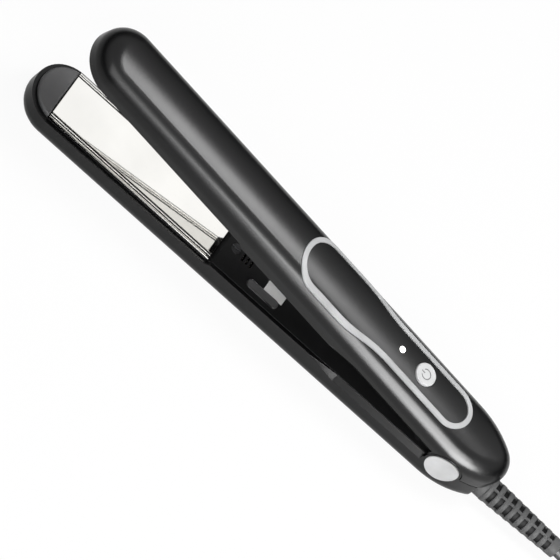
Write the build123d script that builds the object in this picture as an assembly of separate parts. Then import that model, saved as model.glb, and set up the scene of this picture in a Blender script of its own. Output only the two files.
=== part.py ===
from build123d import *
import math
import os

# Both arms share one plan: round tip at -X, straight sides, long round tail behind the pivot at zero.
BODY_WIDTH = 32.0
ARM_DEPTH = 16.2
TIP_REACH = 240.0
TAIL_REACH = 22.0
TAIL_LENGTH = 28.0
TAIL_ROUND = 11.0
LOWER_TAIL = 18.0
CROWN = 38.0
UPPER_SHOULDER = 9.0
LOWER_SHOULDER = 7.5
WALL = 2.0
OPEN_ANGLE = 9.7

# Clearances: seated pieces, running shafts, swinging faces, floating plates and the open stop.
FIT = 0.1
RUN = 0.05
SWING = 0.4
FLOAT_GAP = 0.5
STOP_GAP = 0.35

# Inner faces, measured out from the plane where the closed arms meet.
DECK = 1.0
PLATE_DROP = 2.6
FRAME_THICK = 2.0
PAD_LIFT = 0.3
PAD_INSET = 2.2
PAD_ROUND = 0.8
BEVEL_IN = 1.7
BEVEL_DOWN = 3.2
BEVEL_START = 75.0
BEVEL_RUN = 15.0
BEVEL_END = 9.6

# Heated plates and what presses them outwards.
PLATE_MARGIN = 1.7
PLATE_NECK_MARGIN = 3.75
PLATE_LENGTH = 91.0
PLATE_NOSE = 14.5
PLATE_LIFT = 0.1
PLATE_SLAB = 1.2
PLATE_SKIN = 1.6
PLATE_ROUND = 0.9
PLATE_WALL = 1.5
FLANGE = 1.3
FLANGE_THICK = 1.0
DECK_GAP = 2.4
HEATER_MARGIN = 3.5
HEATER_LENGTH = 70.0
HEATER_THICK = 1.8
TAB_WIDTH = 3.0
TAB_THICK = 0.5
TAB_RISE = 1.3
CLIP_LENGTH = 54.0
CLIP_THICK = 0.5
CLIP_BOW = 0.6
CUSHION_LENGTH = 12.0
RIB_MARGIN = 2.5
CUSHION_THICK = 2.4
SHIELD_THICK = 0.8
RIB_THICK = 1.6

# Screws that hold each frame into its shell.
LUG_X = -16.0
LUG_INSET = 6.75
POST = 3.0
SCREW = 1.2
SCREW_HEAD = 2.3
SCREW_HEAD_THICK = 1.1
SCREW_LENGTH = 7.0
GUIDE_AT = 0.793
GUIDE_INSET = 7.0
GUIDE_LENGTH = 17.0
GUIDE_WIDTH = 4.0
GUIDE_LIFT = 0.8
VENT_AT = 0.912
VENT_COUNT = 3
VENT_PITCH = 2.2
VENT_WIDTH = 1.0
VENT_LENGTH = 6.0
LABEL_AT = 0.76
LABEL_LENGTH = 10.3
LABEL_WIDTH = 13.5
LABEL_THICK = 0.2

# Hinge.
EAR_OVER = 0.8
EAR_THICK = 4.25
BARREL = 6.2
BARREL_INNER = 5.8
PIN = 2.0
BUSH = 3.4
CAP_UNDER = 0.3
CAP_SINK = 2.25
CAP_PROUD = 0.4
SPRING_RADIUS = 3.9
SPRING_WIRE = 1.1
SPRING_PITCH = 1.25
SPRING_TURNS = 6.5
SPRING_LEG = 14.0
WINDOW_FRONT = 24.0
WINDOW_BACK = 13.0

# Teardrop control panel on the upper arm. Places along the grip are shares of the way from pivot to plate.
RING_FRONT_AT = 0.848
RING_REAR = -8.0
RING_MARGIN = 2.8
RING_NARROW_MARGIN = 5.8
RING_NECK_FRONT_AT = 0.6245
RING_NECK_REAR_AT = 0.4015
RING_BAND = 2.4
RING_PROUD = 0.35
PANEL_SINK = 0.15
PANEL_LEDGE = 1.4
PANEL_THICK = 1.2
BUTTON_AT = 0.272
BUTTON = 5.2
BUTTON_GAP = 0.2
BUTTON_PROUD = 0.6
BUTTON_FLANGE = 1.0
BUTTON_TRAVEL = 0.6
BUTTON_EDGE = 0.4
LENS_AT = 0.384
LENS = 1.4
LENS_DEPTH = 4.2
BOOT_WALL = 0.8

# Circuit board and its parts inside the upper arm.
BOARD_FRONT_AT = 0.684
BOARD_REAR_AT = 0.1784
BOARD_MARGIN = 9.25
BOARD_THICK = 1.6
BOARD_DEPTH = 8.4
BOARD_POST = 2.4
BOARD_SCREW_INSET = 5.0
SWITCH_WIDTH = 6.0
SWITCH_THICK = 2.2
PLUNGER = 1.7
LED = 1.2
CAPACITOR = 2.1
CAPACITOR_LENGTH = 11.0
TRIAC_LENGTH = 4.5
TRIAC_WIDTH = 9.0
TRIAC_HEIGHT = 3.5
FUSE = 1.4
FUSE_LENGTH = 9.0
SENSOR = 1.0
SENSOR_LENGTH = 6.0
WIRE = 0.8
WIRE_Y = 5.0
WIRE_BEND = 4.0

# Swivelling cord guard.
SWIVEL_HEIGHT = 7.0
NECK = 3.6
SWIVEL_BUSH = 4.9
RETAINER = 4.8
RETAINER_THICK = 1.6
COLLAR = 5.9
COLLAR_LENGTH = 4.6
GUARD_ROOT = 6.1
GUARD_END = 4.3
GUARD_RINGS = 9
RING_PITCH = 4.5
RING_SOLID = 2.7
GUARD_CORE = 3.4
GUARD_RIBS = 4
GUARD_RIB_WIDTH = 2.0
GUARD_TURN = 19.0
COVER_THICK = 2.0

# Cord, put away in a tied hank behind the swivel.
CORD = 3.0
CORD_LENGTH = 1700.0
CORD_LIE = 0.1
CORD_LEAD_OUT = 0.28
CORD_LEAD_IN = 0.32
CORD_BEND = 0.45
HANK_REACH = 33.0
HANK_RUNS = 12
HANK_RUNS_IN_LAYER = 3
HANK_FOLD = 18.0
HANK_STEP = 7.0
HANK_LAYER = 6.6
HANK_WAIST = 6.0
HANK_WAIST_LIFT = 1.7
HANK_AHEAD = 102.0
HANK_ASIDE = 12.5
TAIL_SIDE = 10.0
TIE_WIDTH = 8.0
TIE_THICK = 1.2
TIE_GAP = 0.3
PLUG_LENGTH = 34.0
PLUG_WIDTH = 35.0
PLUG_THICK = 13.7
PLUG_NECK = 5.0
PLUG_NECK_LENGTH = 8.0
PLUG_ROUND = 3.0
PLUG_AHEAD = 13.0
PLUG_ASIDE = -3.0
PRONG = 2.0
PRONG_LENGTH = 19.0
PRONG_APART = 19.0

tip = -TIP_REACH
plate_front = tip + PLATE_NOSE
plate_rear = plate_front + PLATE_LENGTH
plate_mid = (plate_front + plate_rear) / 2
deck_front = plate_rear + DECK_GAP
frame_out = DECK + FRAME_THICK
plate_seat = PLATE_DROP + FRAME_THICK + FIT
plate_back = plate_seat + FLANGE_THICK
slope = math.tan(math.radians(OPEN_ANGLE))
far_out = 2 * BODY_WIDTH
half_body = BODY_WIDTH / 2
plate_width = BODY_WIDTH - 2 * PLATE_MARGIN
plate_neck = BODY_WIDTH - 2 * PLATE_NECK_MARGIN
heater_width = plate_neck - 2 * HEATER_MARGIN
screw_x = deck_front + FRAME_THICK + POST + FIT
guide_x = GUIDE_AT * plate_rear
vent_x = VENT_AT * plate_rear
label_x = LABEL_AT * plate_rear
ring_front = RING_FRONT_AT * plate_rear
ring_neck_front = RING_NECK_FRONT_AT * plate_rear
ring_neck_rear = RING_NECK_REAR_AT * plate_rear
button_x = BUTTON_AT * plate_rear
lens_x = LENS_AT * plate_rear
board_front = BOARD_FRONT_AT * plate_rear
board_rear = BOARD_REAR_AT * plate_rear
lug_y = half_body - LUG_INSET
lug_out = ARM_DEPTH / 2 - FIT
guide_y = half_body - GUIDE_INSET
ear_inner = half_body - EAR_THICK
ear_radius = ARM_DEPTH / 2 + EAR_OVER
cap_seat = half_body - CAP_SINK
cap_radius = ARM_DEPTH / 2 - CAP_UNDER
ring_wide = half_body - RING_MARGIN
ring_narrow = half_body - RING_NARROW_MARGIN
board_width = BODY_WIDTH - 2 * BOARD_MARGIN
swivel_depth = ARM_DEPTH - SWIVEL_HEIGHT


def box(x0, x1, y0, y1, z0, z1):
    return Pos((x0 + x1) / 2, (y0 + y1) / 2, (z0 + z1) / 2) * Box(x1 - x0, y1 - y0, z1 - z0)


def rod_x(radius, x0, x1, y, z):
    return Pos((x0 + x1) / 2, y, z) * Rot(0, 90, 0) * Cylinder(radius, x1 - x0)


def rod_y(radius, y0, y1, x=0.0, z=0.0):
    return Pos(x, (y0 + y1) / 2, z) * Rot(90, 0, 0) * Cylinder(radius, y1 - y0)


def rod_z(radius, z0, z1, x, y):
    return Pos(x, y, (z0 + z1) / 2) * Cylinder(radius, z1 - z0)


def both_sides(shape):
    return shape + mirror(shape, about=Plane.XZ)


def group(shapes):
    return Part() + shapes


def across(points):
    return extrude(Plane.XZ * make_face(Polyline(*points, close=True)), amount=far_out, both=True)


def arm_plan(inset):
    half = half_body - inset
    nose = tip + inset
    end_round = TAIL_ROUND - inset
    start = TAIL_REACH - TAIL_LENGTH
    end_centre = Vector(TAIL_REACH - TAIL_ROUND, 0)
    side_round = ((end_centre.X - start) ** 2 + half**2 - end_round**2) / (2 * (half - end_round))
    side_centre = Vector(start, half - side_round)
    joint = end_centre + (end_centre - side_centre).normalized() * end_round
    opposite = Vector(joint.X, -joint.Y)
    return make_face(
        [
            Line((nose + half, half), (start, half)),
            TangentArc((start, half), joint, tangent=(1, 0)),
            ThreePointArc(joint, (TAIL_REACH - inset, 0), opposite),
            TangentArc((start, -half), opposite, tangent=(1, 0)),
            Line((start, -half), (nose + half, -half)),
            ThreePointArc((nose + half, -half), (nose, 0), (nose + half, half)),
        ]
    )


def arm_body(inset, shoulder, crowned):
    block = extrude(arm_plan(inset), amount=ARM_DEPTH - inset)
    if crowned:
        block = block & rod_x(CROWN - inset, tip - far_out, TAIL_REACH + far_out, 0, ARM_DEPTH - CROWN)
    top_edges = block.edges().filter_by(lambda e: e.bounding_box().min.Z > ARM_DEPTH / 2)
    return fillet(top_edges, shoulder - inset)


def upper_body(inset):
    return arm_body(inset, UPPER_SHOULDER, True)


def lower_body(inset):
    return arm_body(inset, LOWER_SHOULDER, False)


def grip_bevel():
    side = half_body
    corner = [(side - BEVEL_IN, DECK), (side + BEVEL_IN, DECK), (side, DECK + BEVEL_DOWN)]
    near_tip = [(side, DECK), (side + BEVEL_IN, DECK), (side, DECK + BEVEL_IN / 4)]
    full = make_face(Plane.YZ.offset(BEVEL_RUN - BEVEL_START) * Polyline(*corner, close=True))
    thin = make_face(Plane.YZ.offset(-BEVEL_START) * Polyline(*near_tip, close=True))
    return both_sides(loft([thin, full]) + extrude(full, amount=BEVEL_START - BEVEL_RUN - BEVEL_END))


def arm_shell(body, rim):
    shell = body(0) - body(WALL) - across(rim) - grip_bevel()
    inside = body(WALL / 2)
    post = rod_z(POST, frame_out + FIT, ARM_DEPTH, screw_x, 0)
    lug = box(LUG_X - POST, LUG_X + POST, lug_y - POST, half_body, frame_out + FIT, lug_out)
    rib_half = plate_neck / 2 - RIB_MARGIN
    ribs = [
        Pos(x, 0, 0) * box(-RIB_THICK / 2, RIB_THICK / 2, -rib_half, rib_half, shield_out, ARM_DEPTH)
        for x in cushion_places
    ]
    shell = shell + (post & inside) + (both_sides(lug) & inside)
    for rib in ribs:
        shell = shell + (rib & inside)
    pilot = frame_out + SCREW_LENGTH
    shell = shell - rod_z(SCREW, 0, pilot, screw_x, 0)
    return shell - both_sides(rod_z(SCREW, 0, lug_out - FIT, LUG_X, lug_y))


def arm_frame(end_x):
    profile = [
        (tip, PLATE_DROP),
        (plate_rear, PLATE_DROP),
        (deck_front, DECK),
        (end_x, DECK),
        (end_x, frame_out),
        (deck_front + FRAME_THICK, frame_out),
        (plate_rear + FRAME_THICK, plate_seat - FIT),
        (tip, plate_seat - FIT),
    ]
    plan = extrude(arm_plan(WALL + FIT), amount=ARM_DEPTH)
    frame = plan & across(profile)
    pad_end = plate_front - FLOAT_GAP
    nose_pad = extrude(arm_plan(PAD_INSET), amount=PLATE_DROP + FIT)
    nose_pad = nose_pad - across([(pad_end, 0), (far_out, 0), (far_out, ARM_DEPTH), (pad_end, ARM_DEPTH)])
    nose_pad = nose_pad - across([(tip, 0), (far_out, 0), (far_out, PAD_LIFT), (tip, PAD_LIFT)])
    rounded = nose_pad.edges().filter_by(lambda e: e.bounding_box().max.Z < PAD_LIFT + RUN)
    frame = frame + fillet(rounded, PAD_ROUND)
    half = plate_neck / 2 + FLOAT_GAP
    frame = frame - box(plate_front - FLOAT_GAP, plate_rear + FLOAT_GAP, -half, half, 0, ARM_DEPTH)
    guide = Pos(guide_x, 0, DECK) * SlotOverall(GUIDE_LENGTH, GUIDE_WIDTH)
    frame = frame + both_sides(Pos(0, guide_y, -GUIDE_LIFT) * extrude(guide, amount=GUIDE_LIFT + FIT))
    for i in range(VENT_COUNT):
        x = vent_x + i * VENT_PITCH
        frame = frame - box(x, x + VENT_WIDTH, -VENT_LENGTH / 2, VENT_LENGTH / 2, 0, ARM_DEPTH)
    for x, y in screw_places:
        frame = frame - rod_z(SCREW + FIT, 0, ARM_DEPTH, x, y)
        frame = frame - rod_z(SCREW_HEAD + FIT, 0, DECK + SCREW_HEAD_THICK + FIT, x, y)
    return frame


def frame_screws():
    screws = []
    for x, y in screw_places:
        seat = DECK + SCREW_HEAD_THICK + FIT
        pilot = frame_out + SCREW_LENGTH if y == 0 else lug_out - FIT
        head = rod_z(SCREW_HEAD, seat - SCREW_HEAD_THICK, seat, x, y)
        shank = rod_z(SCREW - RUN, seat - SCREW_HEAD_THICK / 2, pilot - FIT, x, y)
        slot = box(-SCREW_HEAD, SCREW_HEAD, -SCREW / 4, SCREW / 4, 0, seat - SCREW_HEAD_THICK / 2)
        screws.append(head + shank - Pos(x, y, 0) * slot)
    return group(screws)


def heated_plate():
    half = plate_width / 2
    face = box(plate_front, plate_rear, -half, half, PLATE_LIFT, PLATE_LIFT + PLATE_SLAB)
    long_edges = face.edges().filter_by(Axis.X).filter_by(lambda e: e.center().Z < PLATE_LIFT + RUN)
    face = fillet(long_edges, PLATE_ROUND)
    neck = plate_neck / 2
    brim = neck + FLANGE
    plate = face + box(plate_front, plate_rear, -neck, neck, PLATE_LIFT + PLATE_SLAB / 2, plate_back)
    plate = plate + box(plate_front - FLANGE, plate_rear + FLANGE, -brim, brim, plate_seat, plate_back)
    inner = neck - PLATE_WALL
    pocket = box(
        plate_front + PLATE_WALL, plate_rear + far_out, -inner, inner, PLATE_LIFT + PLATE_SKIN, ARM_DEPTH
    )
    return plate - pocket


heater_front = plate_mid - HEATER_LENGTH / 2
heater_rear = plate_mid + HEATER_LENGTH / 2
heater_in = PLATE_LIFT + PLATE_SKIN + FIT
heater_out = heater_in + HEATER_THICK
tab_back = plate_rear - PLATE_WALL
tab_out = plate_back + TAB_RISE


def heater():
    core = box(heater_front, heater_rear, -heater_width / 2, heater_width / 2, heater_in, heater_out)
    side = [WIRE_Y - TAB_WIDTH / 2, WIRE_Y + TAB_WIDTH / 2]
    tab = box(heater_rear - TAB_WIDTH, tab_back, *side, heater_out - TAB_THICK, heater_out)
    tab = tab + box(tab_back - TAB_THICK, tab_back, *side, heater_out - TAB_THICK, tab_out)
    return core + both_sides(tab)


def heater_clip():
    half = CLIP_LENGTH / 2
    low = heater_out + FIT
    high = low + CLIP_BOW
    inner = ThreePointArc((plate_mid - half, high), (plate_mid, low), (plate_mid + half, high))
    outer = Pos(0, CLIP_THICK, 0) * inner
    ends = [Line(inner @ 0, outer @ 0), Line(inner @ 1, outer @ 1)]
    return extrude(Plane.XZ * make_face([inner, outer] + ends), amount=heater_width / 2, both=True)


cushion_in = plate_back + FIT
cushion_out = cushion_in + CUSHION_THICK
shield_out = cushion_out + SHIELD_THICK + 2 * FIT
cushion_places = [plate_mid - PLATE_LENGTH / 4, plate_mid + PLATE_LENGTH / 4]
screw_places = [(screw_x, 0.0), (LUG_X, lug_y), (LUG_X, -lug_y)]


def cushions():
    rim = plate_neck / 2 - PLATE_WALL
    half = CUSHION_LENGTH / 2
    pads = [
        box(x - half, x + half, rim, rim + PLATE_WALL + FLANGE, cushion_in, cushion_out)
        for x in cushion_places
    ]
    return both_sides(group(pads))


def heat_shield():
    half = plate_neck / 2
    return box(plate_front, plate_rear, -half, half, cushion_out + FIT, shield_out - FIT)


def wires(points):
    runs = []
    for side in (1, -1):
        route = FilletPolyline(*[(x, side * y, z) for x, y, z in points], radius=WIRE_BEND)
        start = Plane(origin=route @ 0, z_dir=route % 0)
        runs.append(sweep(start * Circle(WIRE), path=route))
    return group(runs)


def teardrop():
    mid_x = (ring_neck_front + ring_neck_rear) / 2
    mid_y = (ring_wide + ring_narrow) / 2
    half = [
        ThreePointArc(
            (ring_front, 0),
            (ring_front + ring_wide * (1 - math.sqrt(0.5)), ring_wide * math.sqrt(0.5)),
            (ring_front + ring_wide, ring_wide),
        ),
        Line((ring_front + ring_wide, ring_wide), (ring_neck_front, ring_wide)),
        TangentArc((ring_neck_front, ring_wide), (mid_x, mid_y), tangent=(1, 0)),
        TangentArc((ring_neck_rear, ring_narrow), (mid_x, mid_y), tangent=(-1, 0)),
        Line((ring_neck_rear, ring_narrow), (RING_REAR - ring_narrow, ring_narrow)),
        ThreePointArc(
            (RING_REAR - ring_narrow, ring_narrow),
            (RING_REAR - ring_narrow * (1 - math.sqrt(0.5)), ring_narrow * math.sqrt(0.5)),
            (RING_REAR, 0),
        ),
    ]
    return make_face(half + [mirror(edge, about=Plane.XZ) for edge in half])


def column(face):
    return Pos(0, 0, ARM_DEPTH / 2) * extrude(face, amount=ARM_DEPTH)


pieces = {}
drop = teardrop()
drop_inner = offset(drop, amount=-RING_BAND)
ledge_in = WALL + FIT
ledge_out = ledge_in + PANEL_THICK
board_out = ARM_DEPTH - BOARD_DEPTH
board_in = board_out - BOARD_THICK
panel_curve = CROWN - ledge_out
panel_fall = panel_curve - math.sqrt(panel_curve**2 - (BUTTON + BUTTON_FLANGE) ** 2)
button_under = ARM_DEPTH - ledge_out - panel_fall - FIT - BUTTON_FLANGE
plunger_top = button_under - BUTTON_TRAVEL - BUTTON_GAP

# Upper shell: crowned casing, open for the panel, notched round the hinge ears and over the cord guard.
upper_rim = [
    (tip - WALL, -DECK),
    (tip - WALL, PLATE_DROP),
    (plate_rear, PLATE_DROP),
    (deck_front, DECK),
    (far_out, DECK),
    (far_out, -DECK),
]
ear_room = both_sides(rod_y(ear_radius + SWING, ear_inner - SWING, far_out))
guard_room = rod_x(GUARD_ROOT + SWING, LOWER_TAIL - COLLAR_LENGTH, far_out, 0, -swivel_depth)
guard_room = guard_room.rotate(Axis.Y, -OPEN_ANGLE)
upper_shell = arm_shell(upper_body, upper_rim) - column(offset(drop, amount=FIT)) - ear_room - guard_room
pieces["upper_shell"] = upper_shell

# Trim ring, panel and the two things that show through it.
ring_band = column(drop) - column(drop_inner)
pieces["trim_ring"] = ring_band & (upper_body(-RING_PROUD) - upper_body(WALL))
insert = column(offset(drop_inner, amount=-FIT)) & (upper_body(PANEL_SINK) - upper_body(ledge_out))
ledge = column(offset(drop, amount=PANEL_LEDGE)) & (upper_body(ledge_in) - upper_body(ledge_out))
panel = insert + ledge
panel = panel - rod_z(BUTTON + BUTTON_GAP, 0, far_out, button_x, 0)
pieces["control_panel"] = panel - rod_z(LENS + FIT, 0, far_out, lens_x, 0)
cap_top = ARM_DEPTH + BUTTON_PROUD
key = rod_z(BUTTON, button_under, cap_top, button_x, 0)
key = fillet(key.edges().filter_by(lambda e: e.bounding_box().min.Z > ARM_DEPTH), BUTTON_EDGE)
pieces["power_button"] = key + rod_z(
    BUTTON + BUTTON_FLANGE, button_under, button_under + BUTTON_FLANGE, button_x, 0
)
pieces["indicator_lens"] = rod_z(LENS, ARM_DEPTH - LENS_DEPTH, ARM_DEPTH, lens_x, 0)

# Upper frame: deck, plate opening and the split hinge barrel, with board posts on its inner side.
upper_frame = arm_frame(TAIL_REACH)
half_barrel = rod_y(BARREL, BARREL_INNER, ear_inner - SWING)
upper_frame = upper_frame + both_sides(half_barrel)
board_posts = [(board_front + BOARD_SCREW_INSET, 0.0), (board_rear - BOARD_SCREW_INSET, 0.0)]
for x, y in board_posts:
    upper_frame = upper_frame + rod_z(BOARD_POST, frame_out - FIT, board_in, x, y)
    upper_frame = upper_frame - rod_z(SCREW, frame_out, far_out, x, y)
upper_frame = upper_frame - box(-WINDOW_FRONT, WINDOW_BACK, -BARREL_INNER, BARREL_INNER, -far_out, far_out)
upper_frame = upper_frame - both_sides(rod_y(BUSH + RUN, 0, far_out))
pieces["upper_frame"] = upper_frame - ear_room - guard_room
bush = rod_y(BUSH, BARREL_INNER, ear_inner - SWING) - rod_y(PIN + RUN, 0, far_out)
pieces["hinge_bushes"] = both_sides(bush)

# Circuit board with its switch, lamp, fuse, capacitor and triac.
board = box(board_front, board_rear, -board_width / 2, board_width / 2, board_in + FIT, board_out)
for x, y in board_posts:
    board = board - rod_z(SCREW + FIT, 0, far_out, x, y)
pieces["circuit_board"] = board
board_screws = [
    rod_z(SCREW - RUN, frame_out + FIT, board_out + FIT + RUN, x, y)
    + rod_z(SCREW_HEAD, board_out + FIT, board_out + FIT + SCREW_HEAD_THICK, x, y)
    for x, y in board_posts
]
pieces["board_screws"] = group(board_screws)
half_switch = SWITCH_WIDTH / 2
switch = box(-half_switch, half_switch, -half_switch, half_switch, board_out, board_out + SWITCH_THICK)
pieces["tact_switch"] = Pos(button_x, 0, 0) * switch + rod_z(PLUNGER, board_out, plunger_top, button_x, 0)
boot = rod_z(BUTTON, board_out, button_under, button_x, 0)
pieces["button_boot"] = boot - rod_z(BUTTON - BOOT_WALL, 0, far_out, button_x, 0)
pieces["indicator_lamp"] = rod_z(LED, board_out, ARM_DEPTH - LENS_DEPTH - FIT, lens_x, 0)
part_x = board_front + 2 * BOARD_SCREW_INSET
quarter = board_width / 4
pieces["capacitor"] = rod_x(CAPACITOR, part_x, part_x + CAPACITOR_LENGTH, quarter, board_out + CAPACITOR)
pieces["board_fuse"] = rod_x(FUSE, part_x, part_x + FUSE_LENGTH, -quarter, board_out + FUSE)
triac_x = part_x + CAPACITOR_LENGTH + TRIAC_LENGTH
pieces["triac"] = box(
    triac_x, triac_x + TRIAC_LENGTH, -TRIAC_WIDTH / 2, TRIAC_WIDTH / 2, board_out, board_out + TRIAC_HEIGHT
)

# Plate, heater, clip, cushions and heat shield, the same in both arms.
for arm in ("upper", "lower"):
    pieces[arm + "_plate"] = heated_plate()
    pieces[arm + "_heater"] = heater()
    pieces[arm + "_heater_clip"] = heater_clip()
    pieces[arm + "_cushions"] = cushions()
    pieces[arm + "_heat_shield"] = heat_shield()
    pieces[arm + "_screws"] = frame_screws()
lead_in = tab_out - WIRE
upper_route = [
    (tab_back + FIT, WIRE_Y, lead_in),
    (board_front - WIRE_BEND * 3, WIRE_Y, lead_in),
    (board_front - FIT, WIRE_Y, (board_in + board_out) / 2),
]
pieces["upper_leads"] = wires(upper_route)
sensor = rod_x(SENSOR, heater_rear - SENSOR - SENSOR_LENGTH, heater_rear - SENSOR, 0, heater_out + SENSOR)
pieces["heat_sensor"] = sensor

# Lower shell: flat underside to rest on, hinge ears, square tail with the swivel's seat.
tail_start = (1 / math.cos(math.radians(OPEN_ANGLE)) * DECK + DECK - STOP_GAP) / slope
tail_drop = DECK + (far_out - tail_start) * slope
lower_rim = upper_rim[:4] + [(tail_start, DECK), (far_out, tail_drop), (far_out, -DECK)]
tail_cut = box(LOWER_TAIL, far_out, -far_out, far_out, -far_out, far_out)
rear_wall = extrude(arm_plan(WALL / 2), amount=ARM_DEPTH) & lower_body(WALL / 2)
rear_wall = rear_wall & box(LOWER_TAIL - WALL, LOWER_TAIL, -far_out, far_out, 0, far_out)
lower_shell = arm_shell(lower_body, lower_rim) + (rear_wall - across(lower_rim)) - tail_cut
ear = both_sides(rod_y(ear_radius, ear_inner, far_out))
ear = ear & (Pos(0, 0, -far_out / 2) * extrude(arm_plan(0), amount=far_out)) & box(
    -far_out, LOWER_TAIL, -far_out, far_out, -far_out, ARM_DEPTH - LOWER_SHOULDER
)
lower_shell = lower_shell + ear
lower_shell = lower_shell - both_sides(rod_y(cap_radius + FIT, cap_seat, far_out))
lower_shell = lower_shell - rod_y(PIN, -far_out, far_out)
lower_shell = lower_shell - rod_x(SWIVEL_BUSH + FIT, LOWER_TAIL - 2 * WALL, far_out, 0, swivel_depth)
pieces["lower_shell"] = lower_shell

# Lower frame and the pieces laid on its deck.
frame_end = -BARREL - 2 * SWING
lower_frame = arm_frame(frame_end)
label_box = [label_x - LABEL_LENGTH / 2, label_x + LABEL_LENGTH / 2, -LABEL_WIDTH / 2, LABEL_WIDTH / 2]
lower_frame = lower_frame - box(*label_box, 0, DECK + LABEL_THICK)
lower_frame = lower_frame - box(-WINDOW_FRONT, 0, -BARREL_INNER, BARREL_INNER, -far_out, far_out)
pieces["lower_frame"] = lower_frame - both_sides(rod_y(ear_radius + FIT, ear_inner - FIT, far_out))
pieces["blank_label"] = box(*label_box, DECK, DECK + LABEL_THICK)
lower_route = [
    (tab_back + FIT, WIRE_Y, lead_in),
    (screw_x, WIRE_Y, lead_in),
    (vent_x, WIRE_Y, swivel_depth + WIRE),
    (LOWER_TAIL / 2, WIRE_Y, swivel_depth + WIRE),
]
pieces["lower_leads"] = wires(lower_route)
pieces["thermal_fuse"] = sensor

# Hinge pin, caps and the torsion spring that opens the arms.
pieces["hinge_pin"] = rod_y(PIN, FIT - cap_seat, cap_seat - FIT)
cap_limit = Pos(0, 0, -far_out / 2) * extrude(arm_plan(-CAP_PROUD), amount=far_out)
cap = rod_y(cap_radius, cap_seat, far_out) & cap_limit
pieces["hinge_cap_near"] = mirror(cap, about=Plane.XZ)
pieces["hinge_cap_far"] = cap
coil_length = SPRING_PITCH * SPRING_TURNS
coil = Helix(SPRING_PITCH, coil_length, SPRING_RADIUS)
first = coil % 0
last = coil % 1
first_leg = Line(coil @ 0 - first * SPRING_LEG, coil @ 0)
last_leg = Line(coil @ 1, coil @ 1 + last * SPRING_LEG)
wire_path = Wire([first_leg, coil.edge(), last_leg])
spring = sweep(Plane(origin=wire_path @ 0, z_dir=first) * Circle(SPRING_WIRE / 2), path=wire_path)
pieces["hinge_spring"] = Rot(0, 90, 0) * Rot(90, 0, 0) * Pos(0, 0, -coil_length / 2) * spring

# Swivel: bush in the tail wall, cover behind the barrel, ribbed guard with its collar, neck and retainer.
bush_ring = rod_x(SWIVEL_BUSH, LOWER_TAIL - 2 * WALL, LOWER_TAIL, 0, swivel_depth)
pieces["swivel_bush"] = bush_ring - rod_x(NECK + RUN, 0, far_out, 0, swivel_depth)
cover_line = [
    (BARREL + 2 * SWING, DECK),
    (tail_start, DECK),
    (far_out, tail_drop),
    (far_out, tail_drop + COVER_THICK),
    (tail_start, frame_out),
    (BARREL + 2 * SWING, frame_out),
]
cover = extrude(arm_plan(WALL + FIT), amount=ARM_DEPTH) & across(cover_line)
cover = cover & box(0, LOWER_TAIL - WALL - FIT, -far_out, far_out, 0, far_out)
cover = cover - both_sides(rod_y(ear_radius + FIT, ear_inner - FIT, far_out))
cover = cover - rod_x(RETAINER + FIT, 0, far_out, 0, swivel_depth)
pieces["swivel_cover"] = cover - box(0, WINDOW_BACK, -BARREL_INNER, BARREL_INNER, 0, far_out)
retainer_back = LOWER_TAIL - 2 * WALL - FIT
guard_start = LOWER_TAIL + FIT + COLLAR_LENGTH
guard_length = GUARD_RINGS * RING_PITCH
guard = rod_x(NECK, retainer_back - RETAINER_THICK, guard_start, 0, swivel_depth)
guard = guard + rod_x(RETAINER, retainer_back - RETAINER_THICK, retainer_back, 0, swivel_depth)
collar_line = Polyline(
    (LOWER_TAIL + FIT, 0),
    (LOWER_TAIL + FIT, COLLAR),
    (guard_start, COLLAR),
    (guard_start, GUARD_ROOT),
    (guard_start + guard_length, GUARD_END),
    (guard_start + guard_length, 0),
    close=True,
)
envelope = Pos(0, 0, swivel_depth) * revolve(Plane.XZ * make_face(collar_line), axis=Axis.X)
for i in range(GUARD_RINGS - 1):
    x = guard_start + i * RING_PITCH + RING_SOLID
    slot = rod_x(2 * GUARD_ROOT, x, x + RING_PITCH - RING_SOLID, 0, swivel_depth)
    slot = slot - rod_x(GUARD_CORE, x, x + RING_PITCH - RING_SOLID, 0, swivel_depth)
    for j in range(GUARD_RIBS):
        rib = Rot(GUARD_TURN + j * 360 / GUARD_RIBS, 0, 0) * box(
            x, x + RING_PITCH, -GUARD_RIB_WIDTH / 2, GUARD_RIB_WIDTH / 2, 0, 2 * GUARD_ROOT
        )
        slot = slot - Pos(0, 0, swivel_depth) * rib
    envelope = envelope - slot
pieces["cord_guard"] = guard + envelope
guard_end = guard_start + guard_length

# Mains leads cross the hinge behind the barrel, from the swivel to the board.
lead_y = BARREL_INNER / 2
lead_x = BARREL + 2 * SWING + 2 * WIRE
board_end = Vector(board_rear + WIRE, lead_y, board_out + WIRE).rotate(Axis.Y, OPEN_ANGLE)
over_hinge = Vector(0, lead_y, board_out + WIRE).rotate(Axis.Y, OPEN_ANGLE)
mains_route = [
    tuple(board_end),
    tuple(over_hinge),
    (lead_x, lead_y, DECK),
    (lead_x, lead_y, -swivel_depth),
]

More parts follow.
